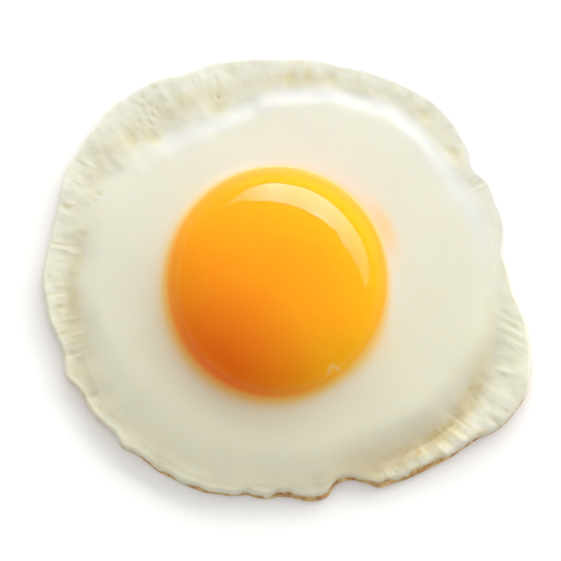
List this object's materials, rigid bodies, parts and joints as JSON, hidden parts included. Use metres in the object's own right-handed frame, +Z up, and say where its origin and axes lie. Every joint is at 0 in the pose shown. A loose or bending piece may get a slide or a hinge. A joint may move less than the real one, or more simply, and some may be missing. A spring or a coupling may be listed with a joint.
{
  "type": "fried egg",
  "caption": "Fried egg, sunny side up: a domed soft yolk set in an irregular disc of white with a raised plateau, a frilly browned rim and a flat underside.",
  "frame": {"origin": "centre of the bounding box's underside, on the plane the egg lies on", "axes": "+Z up from the flat underside to the top of the yolk, +X along the longest width, towards the widest puffed lobe of the rim, +Y to the left of +X seen from above"},
  "size_m": [0.0924, 0.0852, 0.0155],
  "materials": {
    "egg_white": "set egg white, soft and opaque, warm white on the plateau and creamy on the thin rim, moist low sheen, browned at the edge and golden brown underneath; stands in for food",
    "yolk": "soft cooked yolk, deep orange-yellow, slightly translucent, wet gloss, with a faint milky film round its foot; stands in for food"
  },
  "bodies": {
    "root": {"egg_white": "egg_white", "yolk": "yolk"}
  },
  "joints": []
}
